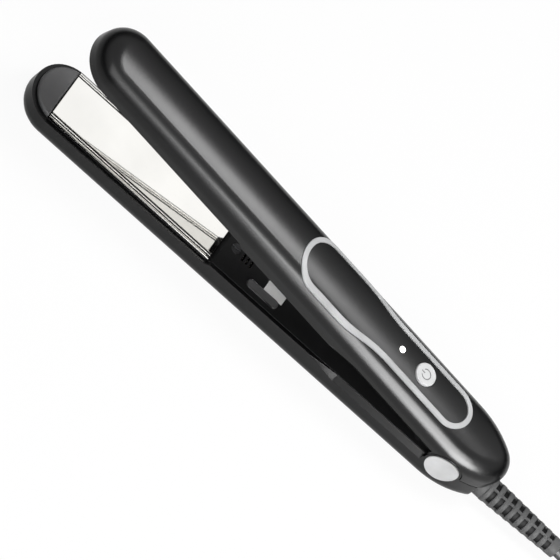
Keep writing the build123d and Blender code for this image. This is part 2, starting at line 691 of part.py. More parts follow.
# Placing: the lower arm is mirrored below the meeting plane, the upper arm swings open about the pivot.
upper_pieces = [
    "upper_shell", "trim_ring", "control_panel", "power_button", "indicator_lens", "upper_frame",
    "hinge_bushes", "circuit_board", "board_screws", "tact_switch", "button_boot", "indicator_lamp",
    "capacitor", "board_fuse", "triac", "upper_plate", "upper_heater", "upper_heater_clip",
    "upper_cushions", "upper_heat_shield", "upper_screws", "upper_leads", "heat_sensor",
]
placed = {}
for name, shape in pieces.items():
    if name in upper_pieces:
        placed[name] = shape.rotate(Axis.Y, OPEN_ANGLE)
    else:
        placed[name] = mirror(shape, about=Plane.XY)
rear_reach = max(guard_end, placed["upper_shell"].bounding_box().max.X)
pivot_x = (TIP_REACH - rear_reach) / 2
pivot = Pos(pivot_x, 0, ARM_DEPTH)
for name in placed:
    placed[name] = pivot * placed[name]
placed["mains_leads"] = pivot * wires(mains_route)


def biarc(a, along_a, b, along_b):
    gap = b - a
    sum_along = along_a + along_b
    turn = 1 - along_a.dot(along_b)
    if turn < 1e-9:
        reach = gap.dot(gap) / (4 * gap.dot(along_b))
    else:
        lean = gap.dot(sum_along)
        reach = (math.sqrt(lean * lean + 2 * turn * gap.dot(gap)) - lean) / (2 * turn)
    pull_a = a + along_a * reach
    pull_b = b - along_b * reach
    if (pull_b - pull_a).cross(along_a).length < 1e-6:
        return [Line(a, b)]
    middle = (pull_a + pull_b) / 2
    along = (pull_b - pull_a).normalized()
    radii.append(((middle - a).length / 2) / math.sin(along_a.get_angle(along) * math.pi / 360))
    radii.append(((b - middle).length / 2) / math.sin(along.get_angle(along_b) * math.pi / 360))
    return [TangentArc(a, middle, tangent=along_a), TangentArc(middle, b, tangent=along)]


def tube(edges):
    path = Wire(edges)
    solid = sweep(Plane(origin=path @ 0, z_dir=path % 0) * Circle(CORD), path=path)
    share = solid.volume / (math.pi * CORD**2 * path.length)
    print("tube length", round(path.length, 1), "volume share", round(share, 4))
    return path, solid


# Hank: loops spiral in and out by turns, each layer reached along a run, all drawn in at the waist.
radii = []
forward = Vector(1, 0, 0)
back = Vector(-1, 0, 0)
floor_z = CORD + CORD_LIE
outer_loop = HANK_FOLD + (HANK_RUNS_IN_LAYER - 0.5) * HANK_STEP / 2
hank_x = pivot_x + guard_end + HANK_AHEAD
hank_y = HANK_ASIDE
top_z = floor_z + (HANK_RUNS // HANK_RUNS_IN_LAYER) * HANK_LAYER


def loop_radius(run):
    step = run % HANK_RUNS_IN_LAYER
    if (run // HANK_RUNS_IN_LAYER) % 2:
        step = HANK_RUNS_IN_LAYER - step
    return outer_loop - step * HANK_STEP / 2


def run_height(run, finished):
    layer = run // HANK_RUNS_IN_LAYER
    if run == HANK_RUNS - 1:
        return top_z if finished else floor_z + layer * HANK_LAYER
    climbing = run > 0 and run % HANK_RUNS_IN_LAYER == 0 and not finished
    return floor_z + (layer - 1 if climbing else layer) * HANK_LAYER


knots = [(Vector(hank_x - HANK_REACH - 2 * CORD, hank_y - outer_loop, floor_z), forward)]
for run in range(HANK_RUNS):
    side = -1 if run % 2 == 0 else 1
    radius = loop_radius(run)
    start_z = run_height(run, False)
    end_z = run_height(run, True)
    climbs_late = run == HANK_RUNS - 1
    waist_z = (start_z if climbs_late else (start_z + end_z) / 2) + HANK_WAIST_LIFT
    heading = forward if side < 0 else back
    start_x = hank_x + side * HANK_REACH
    knots.append((Vector(start_x, hank_y + side * radius, start_z), heading))
    knots.append((Vector(hank_x, hank_y + side * (radius - HANK_WAIST), waist_z), heading))
    knots.append((Vector(2 * hank_x - start_x, hank_y + side * radius, end_z), heading))
plug_y = hank_y + PLUG_ASIDE
plug_under = floor_z + (HANK_RUNS // HANK_RUNS_IN_LAYER - 1) * HANK_LAYER + CORD + CORD_LIE
plug_z = plug_under + PLUG_THICK / 2
plug_x = hank_x + PLUG_AHEAD
neck_x = plug_x - PLUG_NECK_LENGTH
knots.append((Vector(hank_x - HANK_REACH, hank_y - TAIL_SIDE, top_z), forward))
knots.append((Vector(neck_x - 2 * CORD, plug_y, plug_z), forward))
knots.append((Vector(neck_x, plug_y, plug_z), forward))
hank_edges = []
for (a, along_a), (b, along_b) in zip(knots, knots[1:]):
    hank_edges = hank_edges + biarc(a, along_a, b, along_b)
hank_path, placed["cord_hank"] = tube(hank_edges)
print("hank least radius", round(min(radii), 1))
count = int(hank_path.length / CORD * 2)
marks = [hank_path @ (i / count) for i in range(count + 1)]
apart = int(8 * CORD * count / hank_path.length)
closest = min(
    (marks[i] - marks[j]).length for i in range(0, count + 1, 2) for j in range(i + apart, count + 1)
)
hank_width = 2 * outer_loop - HANK_STEP / 2 + 2 * CORD
print("hank least gap", round(closest - 2 * CORD, 2), "width", round(hank_width, 1))

# Free cord from the guard down to the hank, straight runs with tangent arcs.
exit_point = Vector(pivot_x + guard_end, 0, ARM_DEPTH - swivel_depth)
landing = knots[0][0]
span = landing.X - exit_point.X
route = [
    exit_point,
    exit_point + Vector(span * CORD_LEAD_OUT, 0, 0),
    landing - Vector(span * CORD_LEAD_IN, 0, 0),
    landing,
]
bends = []
for i in (1, 2):
    before = (route[i] - route[i - 1]).normalized()
    after = (route[i + 1] - route[i]).normalized()
    shorter = min((route[i] - route[i - 1]).length, (route[i + 1] - route[i]).length)
    half_turn = math.radians(before.get_angle(after) / 2)
    reach = CORD_BEND * shorter
    print("cord bend radius", round(reach / math.tan(half_turn), 1))
    bends.append((route[i] - before * reach, route[i] + after * reach, before))
cord_edges = [
    Line(route[0], bends[0][0]),
    TangentArc(bends[0][0], bends[0][1], tangent=bends[0][2]),
    Line(bends[0][1], bends[1][0]),
    TangentArc(bends[1][0], bends[1][1], tangent=bends[1][2]),
    Line(bends[1][1], route[3]),
]
cord_path, placed["power_cord"] = tube(cord_edges)
print("cord outside the guard", round(cord_path.length + hank_path.length, 1), "of", CORD_LENGTH)

# Tie round the hank's waist, and the flat two-pin plug lying on the hank.
waist_top = floor_z + (HANK_RUNS // HANK_RUNS_IN_LAYER - 1) * HANK_LAYER + HANK_WAIST_LIFT + CORD + TIE_GAP
waist_low = floor_z + HANK_WAIST_LIFT - CORD - TIE_GAP
waist_side = outer_loop - HANK_WAIST + CORD + TIE_GAP
waist_other = waist_side - HANK_STEP / 2
waist_mid = Vector(hank_x, hank_y + (waist_other - waist_side) / 2, (waist_low + waist_top) / 2)
bore = RectangleRounded(waist_side + waist_other, waist_top - waist_low, CORD)
strap = RectangleRounded(
    waist_side + waist_other + 2 * TIE_THICK, waist_top - waist_low + 2 * TIE_THICK, CORD + TIE_THICK
)
waist_plane = Plane(origin=waist_mid, x_dir=(0, 1, 0), z_dir=(1, 0, 0))
placed["cord_tie"] = extrude(waist_plane * (strap - bore), amount=TIE_WIDTH / 2, both=True)
plug_half = [
    (plug_x, plug_y + PLUG_WIDTH / 4),
    (plug_x + PLUG_LENGTH / 2, plug_y + PLUG_WIDTH / 2),
    (plug_x + PLUG_LENGTH, plug_y + PLUG_WIDTH / 2),
]
plug_plan = plug_half + [(x, 2 * plug_y - y) for x, y in reversed(plug_half)]
plug = extrude(Pos(0, 0, plug_under) * make_face(Polyline(*plug_plan, close=True)), amount=PLUG_THICK)
prong_start = plug_x + PLUG_LENGTH
plug_edges = plug.edges().filter_by(lambda e: e.bounding_box().min.X < prong_start - RUN)
plug_grip = rod_x(PLUG_NECK, neck_x, plug_x + PLUG_ROUND, plug_y, plug_z)
placed["plug_body"] = fillet(plug_edges, PLUG_ROUND) + plug_grip
prongs = []
for side in (-1, 1):
    prong = rod_x(PRONG, prong_start, prong_start + PRONG_LENGTH, plug_y + side * PRONG_APART / 2, plug_z)
    prongs.append(fillet(prong.edges().sort_by(Axis.X)[-1:], PRONG / 2))
placed["plug_pins"] = group(prongs)

print("pivot", round(pivot_x, 3), 0, ARM_DEPTH, "rear", round(rear_reach, 3))
print("guard end", round(pivot_x + guard_end, 3), "plug", round(plug_x, 2))
print("hank", round(hank_x, 2), hank_y)
os.makedirs("parts", exist_ok=True)
for name, shape in placed.items():
    export_step(shape, "parts/" + name + ".step")
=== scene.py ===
import math

import bmesh
import bpy
from mathutils import Matrix, Vector


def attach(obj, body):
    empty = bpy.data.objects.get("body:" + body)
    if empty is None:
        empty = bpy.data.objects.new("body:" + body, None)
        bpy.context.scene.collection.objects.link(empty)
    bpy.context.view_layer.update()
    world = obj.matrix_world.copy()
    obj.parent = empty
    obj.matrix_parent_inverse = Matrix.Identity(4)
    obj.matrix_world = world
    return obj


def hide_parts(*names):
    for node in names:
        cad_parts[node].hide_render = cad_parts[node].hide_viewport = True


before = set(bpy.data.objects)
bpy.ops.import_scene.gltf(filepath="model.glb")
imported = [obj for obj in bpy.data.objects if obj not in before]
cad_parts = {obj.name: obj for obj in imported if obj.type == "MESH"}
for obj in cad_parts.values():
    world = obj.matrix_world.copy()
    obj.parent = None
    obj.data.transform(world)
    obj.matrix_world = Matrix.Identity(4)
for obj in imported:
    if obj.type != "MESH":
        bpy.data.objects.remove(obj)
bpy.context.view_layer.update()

scene = bpy.context.scene
scene.view_settings.view_transform = "Standard"

# Studio: a white table top under a white ceiling, which the polished metal shows as well, and darker walls.
# A soft lamp hangs over the far side, one fills in from the near side and one stands low at the near rear,
# with two panels beside it that only the shine shows. The long lens looks down from the near side.
hinge = Vector((0.0884, 0.0, 0.0162))
turn, climb, lean = (math.radians(angle) for angle in (-14.0921, 53.0911, 53.1263))
towards_lens = Vector(
    (math.sin(turn) * math.cos(climb), -math.cos(turn) * math.cos(climb), math.sin(climb))
)
level = Vector((math.cos(turn), math.sin(turn), 0.0))
rise = towards_lens.cross(level)
right = level * math.cos(lean) + rise * math.sin(lean)
above = rise * math.cos(lean) - level * math.sin(lean)
lens = bpy.data.cameras.new("long_lens")
lens.lens = 1200.0
lens.sensor_width = 36.0
lens.clip_end = 40.0
camera = bpy.data.objects.new("camera", lens)
scene.collection.objects.link(camera)
lens_shift_left, lens_shift_up, lens_distance = 0.07575, 0.07004, 7.934
lens_place = hinge - right * lens_shift_left + above * lens_shift_up + towards_lens * lens_distance
camera.matrix_world = (
    Matrix.Translation(lens_place) @ Matrix((right, above, towards_lens)).transposed().to_4x4()
)
scene.camera = camera


def add_node(tree, kind, settings, inputs):
    node = tree.nodes.new(kind)
    for name, value in settings.items():
        setattr(node, name, value)
    for name, value in inputs.items():
        if isinstance(value, bpy.types.NodeSocket):
            tree.links.new(value, node.inputs[name])
        else:
            node.inputs[name].default_value = value
    return node


world = bpy.data.worlds.new("white_room")
world.use_nodes = True
scene.world = world
room = world.node_tree
room.nodes.clear()
facing = add_node(room, "ShaderNodeTexCoord", {}, {}).outputs["Generated"]
height = add_node(room, "ShaderNodeSeparateXYZ", {}, {"Vector": facing}).outputs["Z"]
ceiling = add_node(
    room, "ShaderNodeMapRange", {"interpolation_type": "SMOOTHSTEP"},
    {"Value": height, "From Min": 0.25, "From Max": 0.7, "To Min": 0.03, "To Max": 1.0},
)
path = add_node(room, "ShaderNodeLightPath", {}, {})
room_white = (1.0, 1.0, 1.0, 1.0)
dim = add_node(room, "ShaderNodeBackground", {}, {"Color": room_white, "Strength": 0.15})
hall = add_node(room, "ShaderNodeBackground", {}, {"Color": room_white, "Strength": ceiling.outputs[0]})
white = add_node(room, "ShaderNodeBackground", {}, {"Color": room_white, "Strength": 1.0})
mirrored = add_node(
    room, "ShaderNodeMixShader", {},
    {0: path.outputs["Is Glossy Ray"], 1: dim.outputs[0], 2: hall.outputs[0]},
)
clear = add_node(
    room, "ShaderNodeMath", {"operation": "MAXIMUM"},
    {0: path.outputs["Is Camera Ray"], 1: path.outputs["Is Transmission Ray"]},
)
room_mix = add_node(
    room, "ShaderNodeMixShader", {}, {0: clear.outputs[0], 1: mirrored.outputs[0], 2: white.outputs[0]}
)
add_node(room, "ShaderNodeOutputWorld", {}, {"Surface": room_mix.outputs[0]})

table_bm = bmesh.new()
bmesh.ops.create_grid(table_bm, x_segments=1, y_segments=1, size=6.0)
table_mesh = bpy.data.meshes.new("table_top")
table_bm.to_mesh(table_mesh)
table_bm.free()
table_top = bpy.data.objects.new("table_top", table_mesh)
scene.collection.objects.link(table_top)
table_white = bpy.data.materials.new("table_white")
table_white.use_nodes = True
tree = table_white.node_tree
tree.nodes.clear()
matt = add_node(tree, "ShaderNodeBsdfDiffuse", {}, {"Color": (0.9, 0.9, 0.9, 1.0)})
glow = add_node(tree, "ShaderNodeEmission", {}, {"Color": room_white, "Strength": 1.0})
path = add_node(tree, "ShaderNodeLightPath", {}, {})
mirrored = add_node(
    tree, "ShaderNodeMath", {"operation": "MAXIMUM"},
    {0: path.outputs["Is Glossy Ray"], 1: path.outputs["Is Transmission Ray"]},
)
mirrored_share, straight_share = 0.4, 0.93
shaded = add_node(
    tree, "ShaderNodeMath", {"operation": "MULTIPLY"}, {0: mirrored.outputs[0], 1: mirrored_share}
)
straight = add_node(
    tree, "ShaderNodeMath", {"operation": "MULTIPLY"}, {0: path.outputs["Is Camera Ray"], 1: straight_share}
)
kept = add_node(
    tree, "ShaderNodeMath", {"operation": "MAXIMUM"}, {0: shaded.outputs[0], 1: straight.outputs[0]}
)
table_mix = add_node(
    tree, "ShaderNodeMixShader", {}, {0: kept.outputs[0], 1: matt.outputs[0], 2: glow.outputs[0]}
)
add_node(tree, "ShaderNodeOutputMaterial", {}, {"Surface": table_mix.outputs[0]})
table_mesh.materials.append(table_white)

tail_shoulder = (0.07, -0.013, 0.03)
for name, place, target, along, length, width, watts, gloss_only in (
    ("ceiling_lamp", (0.205, 0.175, 0.655), (-0.09, 0.0, 0.06), (-0.42, -0.83, 0.36), 0.26, 0.2, 3.3, False),
    ("near_fill", (-0.05, -0.50, 0.55), (0.0, 0.0, 0.03), (1.0, 0.0, 0.0), 0.50, 0.40, 2.6, False),
    ("side_lamp", (0.35, -0.42, 0.11), tail_shoulder, (0.8, 0.6, 0.0), 0.34, 0.20, 0.8, False),
    ("side_sheen", (0.335, -0.43, 0.125), tail_shoulder, (0.89, 0.45, 0.0), 0.30, 0.22, 6.8, True),
    ("side_glow", (0.335, -0.43, 0.36), tail_shoulder, (0.89, 0.45, 0.0), 0.30, 0.25, 6.0, True),
):
    lamp = bpy.data.lights.new(name, "AREA")
    lamp.shape = "RECTANGLE"
    lamp.size = length
    lamp.size_y = width
    lamp.energy = watts
    panel = bpy.data.objects.new(name, lamp)
    panel.visible_diffuse = not gloss_only
    panel.visible_camera = False
    scene.collection.objects.link(panel)
    away = (Vector(place) - Vector(target)).normalized()
    reach = (Vector(along) - away * away.dot(Vector(along))).normalized()
    facing_target = Matrix((reach, away.cross(reach), away)).transposed().to_4x4()
    panel.matrix_world = Matrix.Translation(place) @ facing_target

# Casings: one moulded black trough for each arm, in satin plastic. The lower one has a flat underside,
# hinge ears and the swivel's seat. The fine moulded skin is shared by every plastic piece.


def effect_group(name, inputs, outputs):
    group = bpy.data.node_groups.new(name, "ShaderNodeTree")
    for label, kind, value in inputs:
        group.interface.new_socket(label, in_out="INPUT", socket_type=kind).default_value = value
    for label, kind in outputs:
        group.interface.new_socket(label, in_out="OUTPUT", socket_type=kind)
    taken = add_node(group, "NodeGroupInput", {}, {}).outputs
    given = add_node(group, "NodeGroupOutput", {}, {}).inputs
    return group, taken, given


surface_outputs = [
    ("Color", "NodeSocketColor"), ("Roughness", "NodeSocketFloat"), ("Height", "NodeSocketFloat")
]
moulded_skin, taken, given = effect_group(
    "moulded_skin",
    [
        ("Color", "NodeSocketColor", (0.02, 0.02, 0.02, 1.0)),
        ("Grain", "NodeSocketFloat", 2600.0),
        ("Roughness", "NodeSocketFloat", 0.4),
        ("Handling", "NodeSocketFloat", 0.12),
    ],
    surface_outputs,
)
place = add_node(moulded_skin, "ShaderNodeTexCoord", {}, {}).outputs["Object"]
fine = add_node(
    moulded_skin, "ShaderNodeTexNoise", {}, {"Vector": place, "Scale": taken["Grain"], "Detail": 2.0}
)
broad = add_node(moulded_skin, "ShaderNodeTexNoise", {}, {"Vector": place, "Scale": 60.0, "Detail": 5.0})
shade = add_node(
    moulded_skin, "ShaderNodeMapRange", {},
    {"Value": broad.outputs[0], "From Min": 0.3, "From Max": 0.7, "To Min": 0.85, "To Max": 1.18},
)
tone = add_node(
    moulded_skin, "ShaderNodeHueSaturation", {}, {"Color": taken["Color"], "Value": shade.outputs[0]}
)
drift = add_node(moulded_skin, "ShaderNodeMath", {"operation": "SUBTRACT"}, {0: broad.outputs[0], 1: 0.5})
rough = add_node(
    moulded_skin, "ShaderNodeMath", {"operation": "MULTIPLY_ADD"},
    {0: drift.outputs[0], 1: taken["Handling"], 2: taken["Roughness"]},
)
moulded_skin.links.new(tone.outputs[0], given["Color"])
moulded_skin.links.new(rough.outputs[0], given["Roughness"])
moulded_skin.links.new(fine.outputs[0], given["Height"])
broken_edge = 0.00035


def finish_of(name, effect, effect_values, bump_depth, shader_values):
    material = bpy.data.materials.new(name)
    material.use_nodes = True
    tree = material.node_tree
    shader = tree.nodes["Principled BSDF"]
    surface = add_node(tree, "ShaderNodeGroup", {"node_tree": effect}, effect_values)
    broken = add_node(tree, "ShaderNodeBevel", {"samples": 4}, {"Radius": broken_edge})
    bump = add_node(
        tree, "ShaderNodeBump", {},
        {
            "Strength": 0.6, "Distance": bump_depth, "Height": surface.outputs["Height"],
            "Normal": broken.outputs[0],
        },
    )
    tree.links.new(surface.outputs["Color"], shader.inputs["Base Color"])
    tree.links.new(surface.outputs["Roughness"], shader.inputs["Roughness"])
    tree.links.new(bump.outputs[0], shader.inputs["Normal"])
    for label, value in shader_values.items():
        shader.inputs[label].default_value = value
    return material


def dress(material, *nodes):
    for node in nodes:
        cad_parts[node].material_slots[0].material = material


case_black = finish_of(
    "case_black", moulded_skin,
    {"Color": (0.004, 0.0041, 0.0043, 1.0), "Grain": 2800.0, "Roughness": 0.26, "Handling": 0.05},
    bump_depth=0.000008, shader_values={"Specular IOR Level": 0.25},
)
dress(case_black, "lower_shell", "upper_shell")

# Heat shields: a sheet of pale, flecked mica in each arm, cut to the size of the plate.
# It lies behind the cushions and keeps the heat off the casing.
mica = finish_of(
    "mica", moulded_skin,
    {"Color": (0.46, 0.40, 0.30, 1.0), "Grain": 700.0, "Roughness": 0.35, "Handling": 0.4},
    bump_depth=0.0001, shader_values={"Specular IOR Level": 0.6},
)
dress(mica, "lower_heat_shield", "upper_heat_shield")

# Cushions: four moulded silicone blocks in each arm, between the shield and the plate's brim,
# which let the plate give under the hair.
silicone = finish_of(
    "silicone", moulded_skin,
    {"Color": (0.55, 0.53, 0.49, 1.0), "Grain": 900.0, "Roughness": 0.6, "Handling": 0.1},
    bump_depth=0.00003, shader_values={"Subsurface Weight": 0.1},
)
dress(silicone, "lower_cushions", "upper_cushions")

# Heated plates: extruded aluminium with a hard metallic coat, polished along their length until they mirror
# the other arm, with two fine grooves by each long edge, painted near black as painted shade. They float on
# their brims in the frame.
drawn_metal, taken, given = effect_group(
    "drawn_metal",
    [
        ("Color", "NodeSocketColor", (0.8, 0.8, 0.8, 1.0)),
        ("Turn", "NodeSocketVector", (0.0, 0.0, 0.0)),
        ("Stretch", "NodeSocketVector", (40.0, 2500.0, 2500.0)),
        ("Roughness", "NodeSocketFloat", 0.1),
        ("Spread", "NodeSocketFloat", 0.06),
    ],
    surface_outputs,
)
place = add_node(drawn_metal, "ShaderNodeTexCoord", {}, {}).outputs["Object"]
turned = add_node(
    drawn_metal, "ShaderNodeMapping", {"vector_type": "TEXTURE"}, {"Vector": place, "Rotation": taken["Turn"]}
)
drawn = add_node(
    drawn_metal, "ShaderNodeVectorMath", {"operation": "MULTIPLY"},
    {0: turned.outputs[0], 1: taken["Stretch"]},
)
lines = add_node(
    drawn_metal, "ShaderNodeTexNoise", {}, {"Vector": drawn.outputs[0], "Scale": 1.0, "Detail": 3.0}
)
clouds = add_node(drawn_metal, "ShaderNodeTexNoise", {}, {"Vector": place, "Scale": 35.0, "Detail": 3.0})
shade = add_node(
    drawn_metal, "ShaderNodeMapRange", {},
    {"Value": clouds.outputs[0], "From Min": 0.3, "From Max": 0.7, "To Min": 0.95, "To Max": 1.04},
)
tone = add_node(
    drawn_metal, "ShaderNodeHueSaturation", {}, {"Color": taken["Color"], "Value": shade.outputs[0]}
)
drift = add_node(drawn_metal, "ShaderNodeMath", {"operation": "SUBTRACT"}, {0: lines.outputs[0], 1: 0.5})
rough = add_node(
    drawn_metal, "ShaderNodeMath", {"operation": "MULTIPLY_ADD"},
    {0: drift.outputs[0], 1: taken["Spread"], 2: taken["Roughness"]},
)
drawn_metal.links.new(tone.outputs[0], given["Color"])
drawn_metal.links.new(rough.outputs[0], given["Roughness"])
drawn_metal.links.new(lines.outputs[0], given["Height"])
weld_reach = 0.000001
crease = math.radians(40.0)


def piece_from(name, bm, place, material):
    bmesh.ops.remove_doubles(bm, verts=bm.verts, dist=weld_reach)
    bmesh.ops.recalc_face_normals(bm, faces=bm.faces)
    bmesh.ops.transform(bm, matrix=place, verts=bm.verts)
    mesh = bpy.data.meshes.new(name)
    bm.to_mesh(mesh)
    bm.free()
    mesh.shade_smooth()
    mesh.set_sharp_from_angle(angle=crease)
    mesh.materials.append(material)
    made = bpy.data.objects.new(name, mesh)
    scene.collection.objects.link(made)
    return made


opening = math.radians(9.7)
upper_place = Matrix.Translation(hinge) @ Matrix.Rotation(opening, 4, "Y")
plate_ends = (-0.2255, -0.1345)
mirror_edge = [(0.0112, 0.0001), (0.0114, 0.0001)]
inner_groove = [(0.0115, 0.00016), (0.0117, 0.0006), (0.0121, 0.0006), (0.0122, 0.0002)]
outer_groove = [(0.0127, 0.0002), (0.0128, 0.0007), (0.0132, 0.0007), (0.0133, 0.0004)]
rounded_side = [(0.0140, 0.0004), (0.0143, 0.0006), (0.0143, 0.0013)]
neck_and_brim = [
    (0.01225, 0.0013), (0.01225, 0.0047), (0.01355, 0.0047), (0.01355, 0.0057), (0.01075, 0.0057),
    (0.01075, 0.0017),
]
half_section = mirror_edge + inner_groove + outer_groove + rounded_side + neck_and_brim
groove_depths = (0.00055, 0.0008)
grooves_end = 0.0136
# Painted shade: the grooves get a near-black, non-metal finish that stands in for the shade falling in them.
groove_painted_shade = finish_of(
    "groove_painted_shade", drawn_metal,
    {"Color": (0.012, 0.012, 0.012, 1.0), "Roughness": 0.5, "Spread": 0.1},
    bump_depth=0.000001, shader_values={"Specular IOR Level": 0.2},
)
for arm, arm_place, arm_turn, side in (
    ("lower", Matrix.Translation(hinge), 0.0, -1.0), ("upper", upper_place, opening, 1.0)
):
    plate_mirror = finish_of(
        arm + "_plate_mirror", drawn_metal,
        {"Color": (0.94, 0.93, 0.90, 1.0), "Turn": (0.0, arm_turn, 0.0), "Roughness": 0.04, "Spread": 0.03},
        bump_depth=0.0000003, shader_values={"Metallic": 1.0},
    )
    plate_bm = bmesh.new()
    section = half_section + [(-y, z) for y, z in reversed(half_section)]
    ends = [[plate_bm.verts.new((x, y, z)) for y, z in section] for x in plate_ends]
    for near in range(len(section)):
        far = (near + 1) % len(section)
        side_face = plate_bm.faces.new((ends[0][near], ends[0][far], ends[1][far], ends[1][near]))
        deepest = max(section[near][1], section[far][1])
        in_groove = groove_depths[0] < deepest < groove_depths[1] and abs(section[near][0]) < grooves_end
        side_face.material_index = int(in_groove)
    bmesh.ops.triangle_fill(plate_bm, use_beauty=True, edges=[e for e in plate_bm.edges if e.is_boundary])
    plate_place = arm_place @ Matrix.Diagonal((1.0, 1.0, side, 1.0))
    plate = piece_from(arm + "_plate_profile", plate_bm, plate_place, plate_mirror)
    plate.data.materials.append(groove_painted_shade)
    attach(plate, arm + "_hot_plate")
    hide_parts(arm + "_plate")
    dress(plate_mirror, arm + "_plate")

# Heaters: white sintered ceramic slabs with two bent tabs, pressed on the plates by bowed clips
# of spring steel. A thermal fuse and a sensor ride on them.
ceramic = finish_of(
    "ceramic", moulded_skin,
    {"Color": (0.80, 0.78, 0.73, 1.0), "Grain": 1800.0, "Roughness": 0.5, "Handling": 0.2},
    bump_depth=0.00002, shader_values={},
)
dress(ceramic, "lower_heater", "upper_heater")
spring_steel = finish_of(
    "spring_steel", drawn_metal,
    {"Color": (0.52, 0.53, 0.55, 1.0), "Roughness": 0.28, "Spread": 0.2},
    bump_depth=0.000005, shader_values={"Metallic": 1.0},
)
dress(spring_steel, "lower_heater_clip", "upper_heater_clip")
sensor_glass = finish_of(
    "sensor_glass", moulded_skin,
    {"Color": (0.32, 0.22, 0.12, 1.0), "Grain": 1500.0, "Roughness": 0.25, "Handling": 0.2},
    bump_depth=0.00001, shader_values={"Specular IOR Level": 0.6},
)
dress(sensor_glass, "thermal_fuse", "heat_sensor")

# Leads: stranded copper wire in braided glass sleeving, which stands the heat of the plates. They run
# from the swivel to the board and the lower heater, and from the board to the upper heater.
sleeving = finish_of(
    "sleeving", drawn_metal,
    {"Color": (0.66, 0.63, 0.56, 1.0), "Stretch": (2200.0, 900.0, 900.0), "Roughness": 0.75, "Spread": 0.2},
    bump_depth=0.0001, shader_values={"Specular IOR Level": 0.2},
)
dress(sleeving, "lower_leads", "upper_leads", "mains_leads")

# Frames: heat-proof black nylon with a fine spark texture, which hold the plates. The nose pad, vents,
# guide ribs and screw wells are moulded in, and three blacked steel screws fix each one in its casing.
frame_black = finish_of(
    "frame_black", moulded_skin,
    {"Color": (0.005, 0.005, 0.0053, 1.0), "Grain": 2200.0, "Roughness": 0.45, "Handling": 0.1},
    bump_depth=0.00002, shader_values={"Specular IOR Level": 0.2},
)
dress(frame_black, "lower_frame", "upper_frame")
blacked_steel = finish_of(
    "blacked_steel", drawn_metal,
    {"Color": (0.05, 0.05, 0.052, 1.0), "Roughness": 0.4, "Spread": 0.2},
    bump_depth=0.000005, shader_values={"Metallic": 1.0},
)
dress(blacked_steel, "lower_screws", "upper_screws")

# Nose pads and guide ribs: the raised, rounded parts of each frame that touch the hair, laid over it in a
# lighter copy of the frame's black nylon as painted light, since they catch the lamps while the deck lies in
# shade. The pad is a half disc ahead of the plate.
pad_centre = -0.224
pad_radius = 0.01385
pad_start = math.radians(97.9)
rib_place = (-0.10666, 0.009)
rib_reach = 0.0065
rib_radius = 0.00205
pad_top, pad_depth, pad_rounding = 0.00025, 0.0022, 0.0008
rib_top, rib_depth, rib_rounding = 0.00015, 0.0008, 0.0003
pad_steps = 40
rib_steps = 24
# Painted light: the pads and ribs get a lighter copy of the frame's black, as if lit while the deck lies in
# shade.
pad_painted_light = finish_of(
    "pad_painted_light", moulded_skin,
    {"Color": (0.085, 0.085, 0.087, 1.0), "Grain": 2400.0, "Roughness": 0.45, "Handling": 0.12},
    bump_depth=0.00001, shader_values={"Specular IOR Level": 0.45},
)


def raised_pad(bm, outline, top, depth, rounding):
    face = bm.faces.new([bm.verts.new((x, y, -top)) for x, y in outline])
    sunk = bmesh.ops.extrude_face_region(bm, geom=[face])["geom"]
    sunk_verts = [part for part in sunk if isinstance(part, bmesh.types.BMVert)]
    bmesh.ops.translate(bm, vec=(0.0, 0.0, top - depth), verts=sunk_verts)
    upper_edge = [e for e in bm.edges if all(abs(v.co.z + top) < weld_reach for v in e.verts)]
    bmesh.ops.bevel(
        bm, geom=upper_edge, offset=rounding, offset_type="OFFSET", affect="EDGES", segments=5, profile=0.5,
        material=-1,
    )


for arm, arm_place, side in (("lower", Matrix.Translation(hinge), 1.0), ("upper", upper_place, -1.0)):
    pad_bm = bmesh.new()
    half_disc = []
    for step in range(pad_steps + 1):
        angle = pad_start + (math.tau - 2.0 * pad_start) * step / pad_steps
        half_disc.append((pad_centre + pad_radius * math.cos(angle), pad_radius * math.sin(angle)))
    raised_pad(pad_bm, half_disc, pad_top, pad_depth, pad_rounding)
    for rib_side in (-1.0, 1.0):
        rib = []
        for step in range(rib_steps):
            angle = math.tau * step / rib_steps
            end = rib_reach if math.cos(angle) > 0.0 else -rib_reach
            rib_x = rib_place[0] + end + rib_radius * math.cos(angle)
            rib_y = rib_side * rib_place[1] + rib_radius * math.sin(angle)
            rib.append((rib_x, rib_y))
        raised_pad(pad_bm, rib, rib_top, rib_depth, rib_rounding)
    pads = piece_from(arm + "_pads", pad_bm, arm_place @ Matrix.Diagonal((1.0, 1.0, side, 1.0)), pad_painted_light)
    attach(pads, arm + "_arm")

# Blank label: a plain white self-adhesive patch with a smooth paper face.
# It lies flush in a shallow recess of the lower frame's deck.
label_paper = finish_of(
    "label_paper", moulded_skin,
    {"Color": (0.88, 0.88, 0.87, 1.0), "Grain": 1600.0, "Roughness": 0.55, "Handling": 0.1},
    bump_depth=0.00001, shader_values={},
)
dress(label_paper, "blank_label")

# Hinge: brass bushes in the upper frame's barrel turn on a steel pin through the lower casing's ears,
# and a steel torsion spring between them opens the arms. A round silver-painted cap sits over each end.
brass = finish_of(
    "brass", drawn_metal,
    {"Color": (0.70, 0.52, 0.24, 1.0), "Stretch": (1500.0, 60.0, 1500.0), "Roughness": 0.3, "Spread": 0.2},
    bump_depth=0.000004, shader_values={"Metallic": 1.0},
)
dress(brass, "hinge_bushes")
dress(spring_steel, "hinge_pin", "hinge_spring")
satin_silver = finish_of(
    "satin_silver", moulded_skin,
    {"Color": (0.63, 0.633, 0.636, 1.0), "Grain": 5200.0, "Roughness": 0.5, "Handling": 0.12},
    bump_depth=0.000004, shader_values={"Specular IOR Level": 0.06},
)
dress(satin_silver, "hinge_cap_near", "hinge_cap_far")

